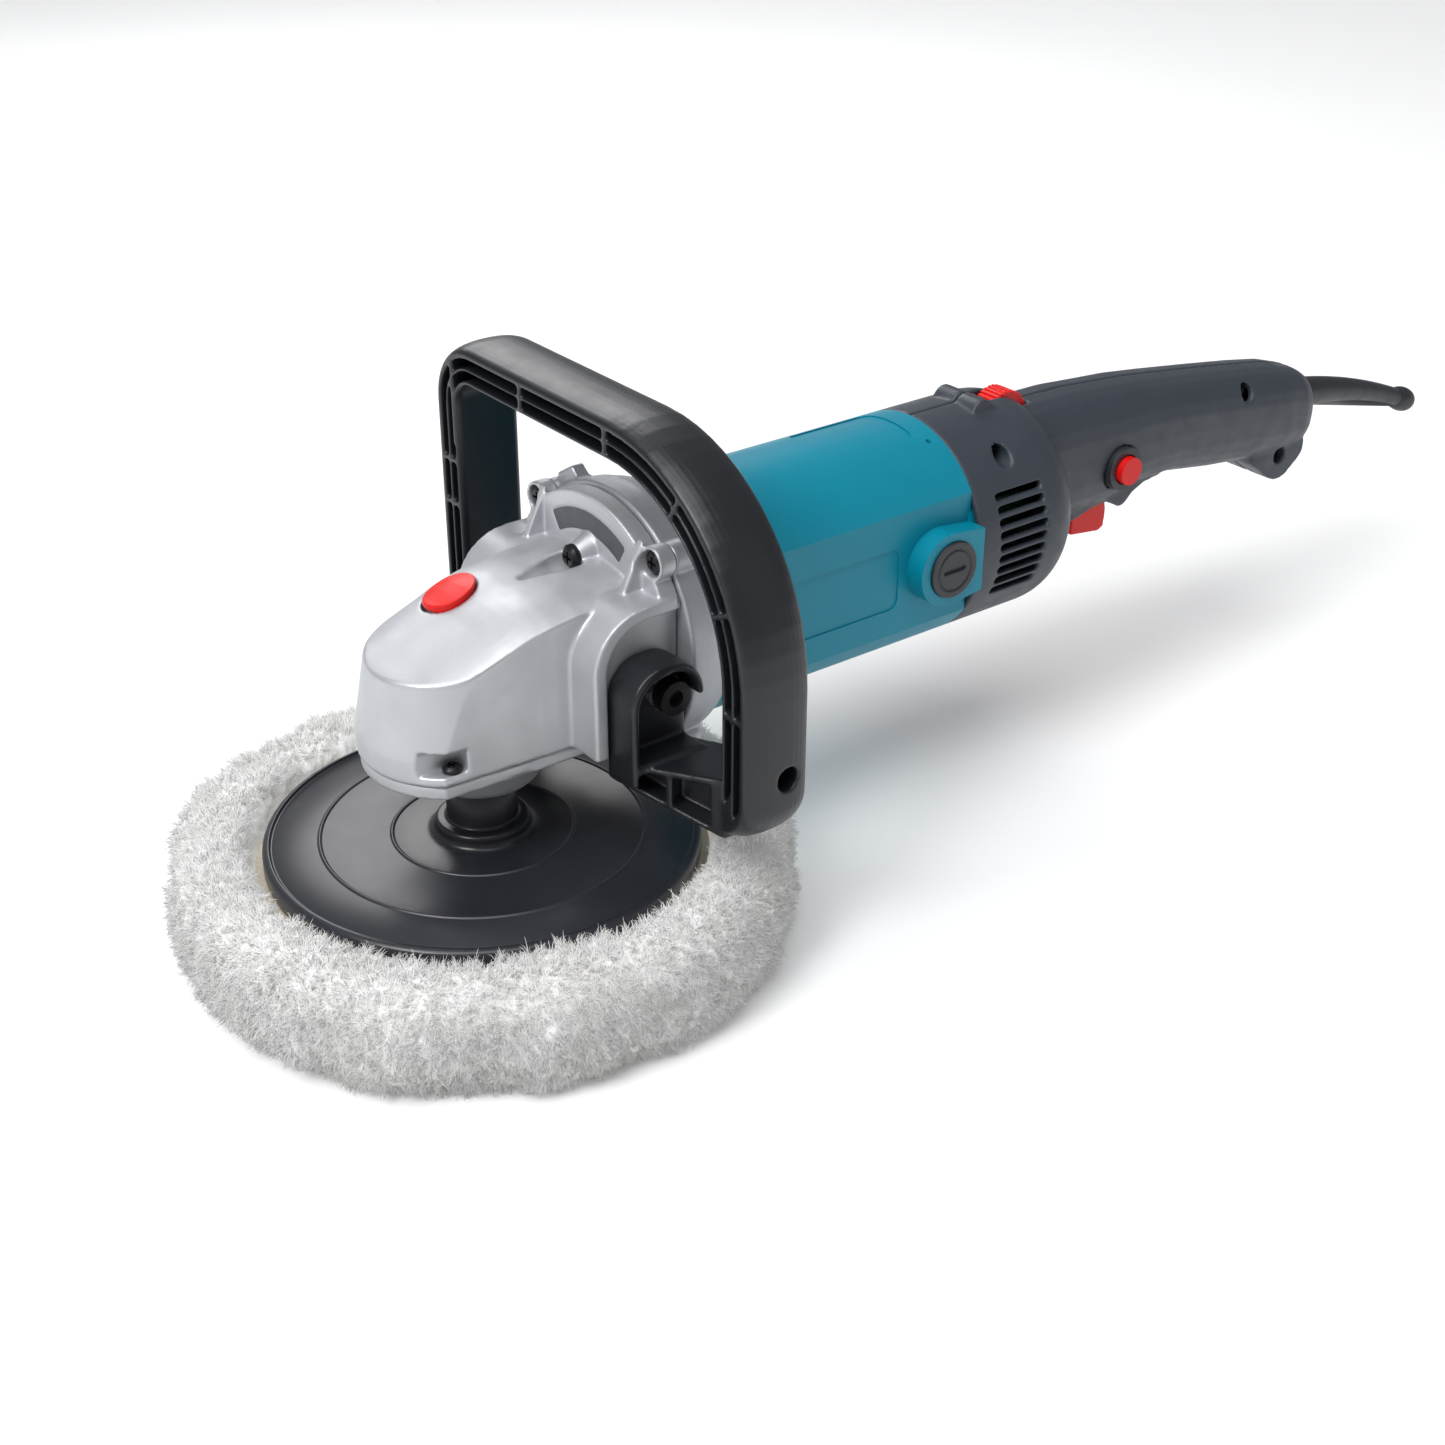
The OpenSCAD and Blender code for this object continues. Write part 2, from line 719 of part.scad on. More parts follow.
// A shallow recess with rounded corners in a flat of the barrel, from depth y0 outwards
module label_recess(x0, x1, z0, z1, y0) {
    corner = 4;
    outline = concat(arc(x0 + corner, z0 + corner, corner, 180, 270),
                     arc(x1 - corner, z0 + corner, corner, 270, 360),
                     arc(x1 - corner, z1 - corner, corner, 0, 90),
                     arc(x0 + corner, z1 - corner, corner, 90, 180));
    side_outline(outline, y0, y0 + 40);
}

// What the barrel's side flats take away, from distance y onwards and behind x
module barrel_flats(y, x)
    both_sides() block([x, y, motor_z - 40], [barrel_x1 + 1, y + 20, motor_z + 40]);

module brush_holders()
    color("goldenrod") both_sides() difference() {
        rod_y(9.6, 20, 43, brush_x, motor_z);
        block([brush_x - 4.3, 10, motor_z - 3.3], [brush_x + 4.3, 41.5, motor_z + 3.3]);
    }

module carbon_brushes()
    color("#303030") both_sides() difference() {
        block([brush_x - 4.2, 12.5, motor_z - 3.2], [brush_x + 4.2, 30, motor_z + 3.2]);
        rod_x(commutator_r + 0.1, 170, 200);
    }

module brush_springs()
    color("silver") both_sides() translate([brush_x, 30.2, motor_z]) rotate([-90, 0, 0])
        coil(2.4, 0.35, 5, 10.6);

module brush_caps()
    color("#24262a") both_sides() difference() {
        rod_y(11.4, 43.1, 47.5, brush_x, motor_z);
        ring_y_groove();
        block([brush_x - 5.5, 46.3, motor_z - 0.9], [brush_x + 5.5, 48, motor_z + 0.9]);
    }

module ring_y_groove()
    difference() {
        rod_y(8.8, 46.9, 48, brush_x, motor_z);
        rod_y(7.8, 46, 49, brush_x, motor_z);
    }

// ---------- rear grip ----------

// Grip stations: [x, middle height, half height, half width]
function grip_stations() =
    [[255, 117, 29, 22], [285, 117.5, 28, 22], [306, 117, 26.6, 22], [324, 118.2, 23.8, 21.7],
     [345, 117, 22.2, 21.3], [374, 112.6, 22.6, 20.5], [401, 109, 22.2, 20],
     [420, 106.3, 21.6, 19], [433, 104.5, 19.5, 17.5], [438, 103.8, 17.6, 16], [441, 103.5, 15, 14]];

// One closed skin through the grip stations, shrunk by an inset on every side
module grip_body(inset) {
    sides = 24;
    stations = [for (s = grip_stations()) if (s[0] + inset <= 441) s];
    last = (len(stations) - 1) * sides;
    function bulge(value) = sign(value) * pow(abs(value), 0.8);
    points = [for (s = stations) for (i = [0:sides - 1])
        let (a = 360 * i / sides)
        [s[0], (s[3] - inset) * bulge(cos(a)), s[1] + (s[2] - inset) * bulge(sin(a))]];
    walls = [for (base = [0:sides:last - sides]) for (i = [0:sides - 1])
        let (k = (i + 1) % sides, p = base + i, q = base + k)
        each [[p, p + sides, q + sides], [p, q + sides, q]]];
    front = [for (i = [0:sides - 1]) i];
    back = [for (i = [sides - 1:-1:0]) last + i];
    polyhedron(points, concat(walls, [front, back]), convexity = 4);
}

// The vented barrel end with its rounded shoulder, shrunk by an inset
module barrel_end(x0, inset) {
    r = barrel_r - inset;
    drop = 18;
    shoulder_x = 243;
    shoulder = 19 - inset;
    points = concat([[0, x0], [r, x0]],
        [for (a = [0:9:90]) [r - drop * (1 - cos(a)), shoulder_x + shoulder * sin(a)]],
        [[0, shoulder_x + shoulder]]);
    translate([0, 0, motor_z]) rotate([0, 90, 0]) rotate_extrude($fn = 72) polygon(points);
}

module trigger_guard()
    side_outline([[283, 100], [286, 88], [300, 91.5], [308, 92], [313, 89.5], [316.5, 87.5],
                  [319.5, 88.3], [324, 92.5], [331, 95.5], [340, 96.5], [340, 104]], -13, 13);

module heel()
    hull() {
        rod_y(10.5, -14, 14, 422, 85);
        rod_y(8, -14, 14, 430, 88);
        rod_y(8, -13, 13, 411, 90);
    }

module handle_shell() {
    slots = 9;
    slot_pitch = 4.9;
    difference() {
        union() {
            difference() {
                union() {
                    barrel_end(barrel_x1 + 0.1, 0);
                    grip_body(0);
                    trigger_guard();
                    heel();
                    dial_guard();
                }
                barrel_end(barrel_x1 - 5, wall);
                grip_body(wall);
                block([288, -9.5, 78], [315.5, 9.5, 110]);
            }
            screw_posts();
        }
        for (i = [0:slots - 1])
            both_sides() translate([0, 0, motor_z - 19 + i * slot_pitch])
                block([213, 30, -1.6], [239 - abs(i - 5) * 0.5, 60, 1.6]);
        block([dial_x - dial_r - 0.6, -5.6, dial_z - dial_r - 1], [dial_x + dial_r + 0.6, 5.6, 170]);
        rod_y(9.6, -40, 0, lock_on_x, lock_on_z);
        rod_x(7.9, 434, 455, 0, 108.05);
        screw_places() cylinder(r = 1.6, h = 80, center = true);
        screw_places() translate([0, 0, 6]) cylinder(r = 3.8, h = 40);
    }
}

// The raised guard in front of the thumbwheel
module dial_guard()
    difference() {
        side_outline(concat([[222, 146]], arc(231, 149.5, 5.5, 160, 40), [[242, 148]]), -12, 12);
        block([236, -5.6, 140], [260, 5.6, 170]);
    }

// Clamshell screws: place along X, height, and half the length of their posts
function grip_screws() =
    [[224, 139, 34], [388, 124.7, 12], [421, 86.5, 12], [256, 79, 30]];

// Posts that take the clamshell screws
module screw_posts()
    for (p = grip_screws())
        if (p[0] < 262)
            intersection() {
                rod_y(5, -p[2], p[2], p[0], p[1]);
                barrel_end(barrel_x1 + 1, 0.5);
            }
        else
            rod_y(5, -p[2], p[2], p[0], p[1]);

// Places children on each clamshell screw, Z pointing out of the near side
module screw_places()
    for (p = grip_screws())
        translate([p[0], 0, p[1]]) rotate([90, 0, 0]) children();

module handle_left()
    color("#3f444b") intersection() {
        handle_shell();
        block([190, -80, 0], [500, -seam, 250]);
    }

module handle_right()
    color("#3f444b") intersection() {
        handle_shell();
        block([190, seam, 0], [500, 80, 250]);
    }

module handle_screws()
    color("#16171a") screw_places() translate([0, 0, 6]) pan_screw(3.6, 2.6, 1.5, 14);

module speed_dial() {
    notches = 32;
    color("red") difference() {
        rod_y(dial_r, -5, 5, dial_x, dial_z);
        for (i = [0:notches - 1])
            translate([dial_x, 0, dial_z]) rotate([0, i * 360 / notches, 0])
                block([-0.4, -6, dial_r - 0.6], [0.4, 6, dial_r + 1]);
        rod_y(2.05, -6, 6, dial_x, dial_z);
    }
}

module speed_module()
    color("#2b5d3a") {
        rod_y(2, -7, 7, dial_x, dial_z);
        block([236, -14, 100], [258, 14, 112]);
        both_sides() block([dial_x - 6, 6.5, 111], [dial_x + 2, 8.5, dial_z + 0.8]);
    }

module trigger()
    color("red") difference() {
        union() {
            side_outline([[292, 79.3], [309, 77], [312, 78.5], [312.5, 86], [310, 97], [292, 97]],
                         -8.5, 8.5);
            block([292, -8.5, 90], [314.6, 8.5, 97]);
        }
        rod_z(4.6, 93, 98, 304);
    }

module trigger_spring()
    color("silver") translate([304, 0, 93.1]) coil(3.4, 0.4, 6, 10.6);

module switch_body()
    color("#1f2023") difference() {
        block([290, -11, 104], [334, 11, 132]);
        rod_y(4.6, -12, -4, lock_on_x, lock_on_z);
    }

module lock_on_collar()
    color("#17181a") difference() {
        rod_y(9.5, -24.5, -15.5, lock_on_x, lock_on_z);
        rod_y(6.4, -30, -10, lock_on_x, lock_on_z);
    }

module lock_on_button()
    color("red") {
        rod_y(6, -27.5, -14.5, lock_on_x, lock_on_z);
        rod_y(3, -14.6, -11.5, lock_on_x, lock_on_z);
    }

module capacitor()
    color("gold") block([345, -6, 104], [369, 6, 122]);

module terminal_block()
    color("ivory") block([376, -8, 103], [396, 8, 117]);

module cord_clamp()
    color("#2f3033") difference() {
        block([408, -10.5, 101], [414, 10.5, 107]);
        rod_x(3.9, 400, 420, 0, 108.5);
        both_sides() rod_z(1.3, 100, 108, 411, 7.5);
    }

module cord_clamp_screws()
    color("silver") both_sides() translate([411, 7.5, 107.1]) pan_screw(2.4, 1.8, 1.2, 5);

// ---------- cord guard ----------

// The guard's centre line: out of the grip's end, then bending downwards
function guard_path(t) = [426 + 102 * t, 0, 109 - 5 * t - 18 * t * t];
function guard_radius(t) = 8 - 5 * t + 1.2 * t * t;

// A point on the guard's tube at parameter t, around the centre line by angle a
function guard_point(t, a, r) =
    let (p = guard_path(t), q = guard_path(t + 0.001), d = (q - p) / norm(q - p))
    p + r * cos(a) * [0, 1, 0] + r * sin(a) * [-d[2], 0, d[0]];

module cord_guard() {
    rings = 16;
    sides = 16;
    cord_r = 2.9;
    bore = cord_r + 0.3;
    radii = [for (i = [0:rings]) guard_radius(i / rings)];
    points = concat(
        [for (i = [0:rings]) for (j = [0:sides - 1]) guard_point(i / rings, 360 * j / sides, radii[i])],
        [for (i = [0:rings]) for (j = [0:sides - 1]) guard_point(i / rings, 360 * j / sides, bore)]);
    inner = (rings + 1) * sides;
    last = rings * sides;
    walls = [for (i = [0:rings - 1]) for (j = [0:sides - 1])
        let (k = (j + 1) % sides)
        [i * sides + j, (i + 1) * sides + j, (i + 1) * sides + k, i * sides + k]];
    bores = [for (f = walls) [inner + f[3], inner + f[2], inner + f[1], inner + f[0]]];
    front = [for (j = [0:sides - 1]) let (k = (j + 1) % sides) [j, k, inner + k, inner + j]];
    back = [for (j = [0:sides - 1]) let (k = (j + 1) % sides)
        [last + k, last + j, inner + last + j, inner + last + k]];
    color("#26282c") {
        polyhedron(points, concat(walls, bores, front, back), convexity = 8);
        guard_bead(cord_r);
    }
}

// The bead at the guard's free end, with the true bore that the cord would leave by
module guard_bead(bore) {
    tip = guard_path(1);
    d = guard_path(1) - guard_path(0.999);
    slope = atan2(-d[2], d[0]);
    translate(tip) rotate([0, 90 + slope, 0]) rotate_extrude($fn = 48)
        polygon(concat([[bore, -0.6]], arc(3.6, 3.2, 2.3, -90, 90), [[bore, 6.4]]));
}

wool_pad();
pad_backing();
backing_plate();
spindle();
output_gear();
gear_key();
gear_clip();
lower_bearing();
upper_bearing();
spindle_seal();
bearing_retainer();
bearing_box();
bearing_box_screws();
gear_case();
gear_case_screws();
retainer_screw();
flange_band();
spindle_lock_button();
lock_pin();
lock_spring();
gear_cover();
loop_handle();
loop_handle_bolts();
loop_handle_washers();
pinion();
pinion_nut();
front_bearing();
armature_shaft();
fan();
baffle_ring();
armature_core();
armature_windings();
commutator();
rear_bearing();
rear_bearing_sleeve();
stator_core();
field_windings();
motor_housing();
brush_holders();
carbon_brushes();
brush_springs();
brush_caps();
handle_left();
handle_right();
handle_screws();
speed_dial();
speed_module();
trigger();
trigger_spring();
switch_body();
lock_on_collar();
lock_on_button();
capacitor();
terminal_block();
cord_clamp();
cord_clamp_screws();
cord_guard();
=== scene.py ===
"""Rotary polisher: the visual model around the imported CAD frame. Metres, Z up, X from head to grip."""

import math

import bmesh
import bpy
import numpy as np
from mathutils import Matrix, Vector, noise
from mathutils.kdtree import KDTree


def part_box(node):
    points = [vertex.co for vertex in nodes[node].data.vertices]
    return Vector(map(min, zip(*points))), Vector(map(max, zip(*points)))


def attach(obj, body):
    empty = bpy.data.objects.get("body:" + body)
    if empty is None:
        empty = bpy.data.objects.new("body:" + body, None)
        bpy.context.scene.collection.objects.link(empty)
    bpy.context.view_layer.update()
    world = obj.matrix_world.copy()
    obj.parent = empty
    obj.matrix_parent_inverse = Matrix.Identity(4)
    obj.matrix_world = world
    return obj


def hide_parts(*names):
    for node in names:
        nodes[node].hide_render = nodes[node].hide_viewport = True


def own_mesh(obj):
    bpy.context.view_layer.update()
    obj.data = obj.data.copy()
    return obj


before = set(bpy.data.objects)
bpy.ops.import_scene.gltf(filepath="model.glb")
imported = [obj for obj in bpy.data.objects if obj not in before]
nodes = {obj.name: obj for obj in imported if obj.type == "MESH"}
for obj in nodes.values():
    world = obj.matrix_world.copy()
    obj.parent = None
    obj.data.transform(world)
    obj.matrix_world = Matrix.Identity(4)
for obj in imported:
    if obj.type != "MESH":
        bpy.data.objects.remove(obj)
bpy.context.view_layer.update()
mm = 0.001


# ---------- materials ----------


def srgb(r, g, b):
    """A linear RGBA colour from 0-255 display values."""
    def linear(c):
        c /= 255
        return c / 12.92 if c < 0.04 else ((c + 0.055) / 1.055) ** 2.4

    return (linear(r), linear(g), linear(b), 1.0)


def noise_node(tree, coords, scale, detail=3.0, rough=0.55):
    """A noise texture read in the piece's own metres."""
    node = tree.nodes.new("ShaderNodeTexNoise")
    node.inputs["Scale"].default_value = scale
    node.inputs["Detail"].default_value = detail
    node.inputs["Roughness"].default_value = rough
    tree.links.new(coords, node.inputs["Vector"])
    return node.outputs["Fac"]


def spread(tree, value, low, high, start=0.3, end=0.7):
    """Maps a texture value from start..end to low..high."""
    node = tree.nodes.new("ShaderNodeMapRange")
    node.inputs["From Min"].default_value = start
    node.inputs["From Max"].default_value = end
    node.inputs["To Min"].default_value = low
    node.inputs["To Max"].default_value = high
    tree.links.new(value, node.inputs["Value"])
    return node.outputs["Result"]


def blend_colour(tree, factor, first, second):
    """Mixes two colours by a texture value."""
    node = tree.nodes.new("ShaderNodeMix")
    node.data_type = "RGBA"
    tree.links.new(factor, node.inputs["Factor"])
    for socket, colour in ((node.inputs[6], first), (node.inputs[7], second)):
        if isinstance(colour, tuple):
            socket.default_value = colour
        else:
            tree.links.new(colour, socket)
    return node.outputs[2]


def shade(colour, factor):
    """A colour made lighter or darker."""
    return tuple(min(1.0, c * factor) for c in colour[:3]) + (1.0,)


def bump(tree, height, distance, strength=1.0, under=None):
    """A bumped normal from a height texture, on top of another one if given."""
    node = tree.nodes.new("ShaderNodeBump")
    node.inputs["Strength"].default_value = strength
    node.inputs["Distance"].default_value = distance
    tree.links.new(height, node.inputs["Height"])
    if under is not None:
        tree.links.new(under, node.inputs["Normal"])
    return node.outputs["Normal"]


def surface(
    name,
    colour,
    rough=0.45,
    metal=0.0,
    mottle=0.10,
    mottle_scale=60.0,
    grain=0.02 * mm,
    grain_scale=2600.0,
    waves=0.0,
    rough_spread=0.08,
    wear=0.0,
    stretch=(1, 1, 1),
    coat=0.0,
    sheen=0.0,
    specular=0.5,
):
    """A moulded, cast or machined surface: mottled colour, uneven gloss, fine grain and lighter worn edges.

    stretch squeezes the grain along an axis, which draws turning or brushing marks."""
    material = bpy.data.materials.new(name)
    material.use_nodes = True
    tree = material.node_tree
    shader = tree.nodes["Principled BSDF"]
    shader.inputs["Metallic"].default_value = metal
    shader.inputs["Coat Weight"].default_value = coat
    shader.inputs["Coat Roughness"].default_value = 0.15
    shader.inputs["Sheen Weight"].default_value = sheen
    shader.inputs["Specular IOR Level"].default_value = specular
    place = tree.nodes.new("ShaderNodeTexCoord").outputs["Object"]
    mapping = tree.nodes.new("ShaderNodeMapping")
    mapping.inputs["Scale"].default_value = stretch
    tree.links.new(place, mapping.inputs["Vector"])
    along = mapping.outputs["Vector"]

    cloudy = noise_node(tree, place, mottle_scale, 4.0)
    mixed = blend_colour(
        tree, spread(tree, cloudy, 0, 1), shade(colour, 1 - mottle), shade(colour, 1 + mottle)
    )
    if wear:
        edge = tree.nodes.new("ShaderNodeNewGeometry").outputs["Pointiness"]
        rubbed = spread(tree, edge, 0, wear, 0.52, 0.62)
        mixed = blend_colour(tree, rubbed, mixed, shade(colour, 2.2))
    tree.links.new(mixed, shader.inputs["Base Color"])

    fine = noise_node(tree, along, grain_scale, 3.0, 0.6)
    smudges = noise_node(tree, along, mottle_scale * 2.3, 5.0)
    gloss = spread(tree, smudges, max(0.03, rough - rough_spread), rough + rough_spread)
    tree.links.new(gloss, shader.inputs["Roughness"])
    normal = bump(tree, fine, grain)
    if waves:
        normal = bump(tree, noise_node(tree, place, 180.0, 2.0), waves, 1.0, normal)
    tree.links.new(normal, shader.inputs["Normal"])
    return material


def wool_surface():
    """Lambswool: bright fibres with warm and grey patches, a painted glow (emission in the fibres' own
    colour) that lightens the whole fleece, and light passing through the fibres.
    """
    material = bpy.data.materials.new("lambswool")
    material.use_nodes = True
    tree = material.node_tree
    shader = tree.nodes["Principled BSDF"]
    shader.inputs["Sheen Weight"].default_value = 0.3
    shader.inputs["Sheen Roughness"].default_value = 0.5
    shader.inputs["Specular IOR Level"].default_value = 0.15
    place = tree.nodes.new("ShaderNodeTexCoord").outputs["Object"]
    patches = noise_node(tree, place, 70.0, 4.0)
    tone = blend_colour(
        tree, spread(tree, patches, 0, 1), srgb(243, 242, 240), srgb(253, 253, 253)
    )
    tree.links.new(tone, shader.inputs["Base Color"])
    # painted light: the fibres glow in their own colour, so the fleece reads brighter than the lamps alone
    # make it
    tree.links.new(tone, shader.inputs["Emission Color"])
    shader.inputs["Emission Strength"].default_value = 0.2
    through = tree.nodes.new("ShaderNodeBsdfTranslucent")
    tree.links.new(tone, through.inputs["Color"])
    mixed = tree.nodes.new("ShaderNodeMixShader")
    mixed.inputs[0].default_value = 0.35
    tree.links.new(shader.outputs[0], mixed.inputs[1])
    tree.links.new(through.outputs[0], mixed.inputs[2])
    tree.links.new(mixed.outputs[0], tree.nodes["Material Output"].inputs["Surface"])
    tree.links.new(spread(tree, patches, 0.8, 0.95), shader.inputs["Roughness"])
    tree.links.new(
        bump(tree, noise_node(tree, place, 900.0, 4.0), 0.4 * mm), shader.inputs["Normal"]
    )
    return material


def felt_surface():
    """The pad's woven backing: a weave of two crossed bands of thread."""
    material = surface("cream_felt", srgb(214, 205, 184), 0.9, grain=0.1 * mm, sheen=0.3)
    tree = material.node_tree
    shader = tree.nodes["Principled BSDF"]
    place = tree.nodes.new("ShaderNodeTexCoord").outputs["Object"]
    normal = shader.inputs["Normal"].links[0].from_socket
    for direction in ("X", "Y"):
        threads = tree.nodes.new("ShaderNodeTexWave")
        threads.bands_direction = direction
        threads.inputs["Scale"].default_value = 350.0
        threads.inputs["Distortion"].default_value = 0.8
        tree.links.new(place, threads.inputs["Vector"])
        normal = bump(tree, threads.outputs["Fac"], 0.15 * mm, 0.7, normal)
    tree.links.new(normal, shader.inputs["Normal"])
    return material


TURNED = (1, 1, 14)
looks = {
    "lambswool": wool_surface(),
    "cream_felt": felt_surface(),
    "gloss_black": surface("gloss_black", srgb(36, 37, 43), 0.3, mottle=0.04, rough_spread=0.015,
                           grain=0.004 * mm),
    "cast_aluminium": surface(
        "cast_aluminium", srgb(188, 190, 194), 0.46, 0.6, mottle=0.04, mottle_scale=35,
        grain=0.05 * mm, grain_scale=1500, rough_spread=0.09, wear=0.25,
    ),
    "bell_aluminium": surface(
        "bell_aluminium", srgb(176, 179, 184), 0.45, 0.6, mottle=0.05, grain=0.03 * mm,
        stretch=(10, 1, 1), wear=0.2,
    ),
    "dark_inlay": surface("dark_inlay", srgb(84, 86, 90), 0.5, 0.3),
    "steel": surface("steel", srgb(190, 192, 196), 0.28, 1.0, stretch=TURNED),
    "gear_steel": surface("gear_steel", srgb(120, 121, 125), 0.38, 1.0),
    "black_screw": surface("black_screw", srgb(38, 38, 41), 0.35, 0.6, wear=0.4),
    "rubber": surface("rubber", srgb(34, 37, 43), 0.45, grain=0.03 * mm),
    "loop_plastic": surface(
        "loop_plastic", srgb(25, 27, 32), 0.36, mottle=0.04, grain=0.02 * mm, grain_scale=1800,
        rough_spread=0.03, wear=0.06
    ),
    "black_plastic": surface("black_plastic", srgb(40, 42, 46), 0.42, wear=0.2),
    "teal_plastic": surface(
        "teal_plastic", srgb(0, 128, 152), 0.38, mottle=0.02, grain=0.008 * mm,
        rough_spread=0.03, specular=0.35
    ),
    "charcoal_plastic": surface(
        "charcoal_plastic", srgb(52, 58, 67), 0.46, mottle=0.04, grain=0.03 * mm,
        grain_scale=1500, wear=0.2,
    ),
    "red_plastic": surface("red_plastic", srgb(214, 16, 12), 0.38, mottle=0.04, specular=0.35),
    "laminated_steel": surface("laminated_steel", srgb(110, 112, 118), 0.45, 1.0, stretch=(60, 1, 1)),
    "copper": surface("copper", srgb(190, 96, 52), 0.35, 0.9, stretch=(1, 20, 1)),
    "brass": surface("brass", srgb(196, 158, 84), 0.35, 0.9),
    "carbon": surface("carbon", srgb(40, 40, 42), 0.7),
    "green_board": surface("green_board", srgb(24, 62, 40), 0.5),
    "film_capacitor": surface("film_capacitor", srgb(190, 150, 60), 0.35),
    "ivory_plastic": surface("ivory_plastic", srgb(222, 216, 196), 0.5),
}


def paint(obj, look):
    """Gives an object one of the looks in place of whatever it has."""
    obj.data.materials.clear()
    obj.data.materials.append(looks[look])


# ---------- shared mesh helpers ----------


def soften(node, voxel, passes):
    """Real fillets on a cast or moulded node: closed up, rebuilt in even small faces and smoothed."""
    obj = nodes[node] if isinstance(node, str) else node
    weld = obj.modifiers.new("weld", "WELD")
    weld.merge_threshold = 0.01 * mm
    rebuild = obj.modifiers.new("rebuild", "REMESH")
    rebuild.mode = "VOXEL"
    rebuild.voxel_size = voxel * mm
    rebuild.use_smooth_shade = True
    smooth = obj.modifiers.new("smooth", "SMOOTH")
    smooth.factor = 0.5
    smooth.iterations = passes


def chamfer(node, width, segments=2, angle=35):
    """Small rounded edges on a machined or crisp node."""
    obj = nodes[node]
    weld = obj.modifiers.new("weld", "WELD")
    weld.merge_threshold = 0.01 * mm
    edge = obj.modifiers.new("edge", "BEVEL")
    edge.width = width * mm
    edge.segments = segments
    edge.limit_method = "ANGLE"
    edge.angle_limit = math.radians(angle)
    edge.use_clamp_overlap = True
    normals = obj.modifiers.new("normals", "WEIGHTED_NORMAL")
    normals.keep_sharp = False
    for face in obj.data.polygons:
        face.use_smooth = True


def cone_between(start, end, start_r, end_r):
    """A hidden cone from one point to another, for shaping the casting."""
    shape = bmesh.new()
    bmesh.ops.create_cone(shape, cap_ends=True, segments=32, radius1=start_r, radius2=end_r,
                          depth=(end - start).length)
    mesh = bpy.data.meshes.new("shaping_cone")
    shape.to_mesh(mesh)
    shape.free()
    cone = bpy.data.objects.new("shaping_cone", mesh)
    turned = (end - start).to_track_quat("Z", "Y").to_matrix().to_4x4()
    cone.matrix_world = Matrix.Translation((end + start) / 2) @ turned
    bpy.context.scene.collection.objects.link(cone)
    return cone


def head_casting():
    """The gear case with a boss around its single screw and a deeper groove in front of it."""
    screw_low, screw_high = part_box("retainer_screw")
    middle = (screw_low + screw_high) / 2
    head_front = Vector((screw_low.x + 0.2 * mm, 0, middle.z))
    seat = Vector((screw_low.x + 3.2 * mm, 0, middle.z))
    boss_end = Vector((screw_low.x + 11 * mm, 0, middle.z + 1.5 * mm))
    groove_tip = head_front + Vector((-20.5, 0, -2.6)) * mm
    boss = cone_between(seat, boss_end, 4.4 * mm, 6.4 * mm)
    groove = cone_between(groove_tip, head_front, 1.3 * mm, 5.2 * mm)

    casting = nodes["gear_case"].copy()
    casting.data = nodes["gear_case"].data.copy()
    casting.name = "head_casting"
    bpy.context.scene.collection.objects.link(casting)
    for cone, operation in ((boss, "UNION"), (groove, "DIFFERENCE")):
        cut = casting.modifiers.new("shaping", "BOOLEAN")
        cut.operation = operation
        cut.solver = "EXACT"
        cut.object = cone
    bpy.context.view_layer.update()
    seen = casting.evaluated_get(bpy.context.evaluated_depsgraph_get())
    casting.data = bpy.data.meshes.new_from_object(seen)
    casting.modifiers.clear()
    for cone in (boss, groove):
        bpy.data.objects.remove(cone)
    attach(casting, "housing")
    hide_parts("gear_case")
    return casting


def new_piece(name, points, faces, look, body, stands_for=()):
    """A smooth mesh object that rides on a body and stands for CAD nodes."""
    mesh = bpy.data.meshes.new(name)
    points = np.asarray(points, np.float32)
    faces = np.asarray(faces, np.int32)
    mesh.vertices.add(len(points))
    mesh.vertices.foreach_set("co", points.ravel())
    sides = faces.shape[1]
    mesh.loops.add(faces.size)
    mesh.loops.foreach_set("vertex_index", faces.ravel())
    mesh.polygons.add(len(faces))
    mesh.polygons.foreach_set("loop_start", np.arange(0, faces.size, sides, dtype=np.int32))
    mesh.polygons.foreach_set("use_smooth", np.ones(len(faces), bool))
    mesh.update(calc_edges=True)
    mesh.validate()
    obj = bpy.data.objects.new(name, mesh)
    bpy.context.scene.collection.objects.link(obj)
    mesh.materials.append(looks[look])
    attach(obj, body)
    if stands_for:
        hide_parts(*stands_for)
    return obj


def lathe(profile, steps):
    """Points and quads of a profile of (radius, height) turned about Z. The profile is closed."""
    profile = np.asarray(profile, float)
    angles = np.linspace(0, 2 * math.pi, steps, endpoint=False)
    ring = np.stack([np.cos(angles), np.sin(angles)], 1)
    points = np.concatenate(
        [ring[:, None, :] * profile[None, :, :1], np.repeat(profile[None, :, 1:], steps, 0)], 2
    ).reshape(-1, 3)
    count = len(profile)
    i, j = np.meshgrid(np.arange(steps), np.arange(count), indexing="ij")
    i2, j2 = (i + 1) % steps, (j + 1) % count
    faces = np.stack([i * count + j, i2 * count + j, i2 * count + j2, i * count + j2], -1)
    return points, faces.reshape(-1, 4)


def arc(cx, cz, r, start, end, steps):
    """Points on an arc, angles in degrees."""
    return [
        (cx + r * math.cos(math.radians(a)), cz + r * math.sin(math.radians(a)))
        for a in np.linspace(start, end, steps + 1)
    ]


# ---------- wool pad ----------

pad_low, pad_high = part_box("wool_pad")
plate_low, plate_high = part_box("backing_plate")
pad_r = pad_high.x
pad_h = pad_high.z
plate_r = plate_high.x
PILE = 4.0 * mm         # how far the locks stand out of the skin
LOCKS = 9000            # clumps of fibre
FIBRES = 120000
FIBRE_R = 0.13 * mm
BATCHES = 10            # objects that the fibres are shared out to
rng = np.random.default_rng(7)


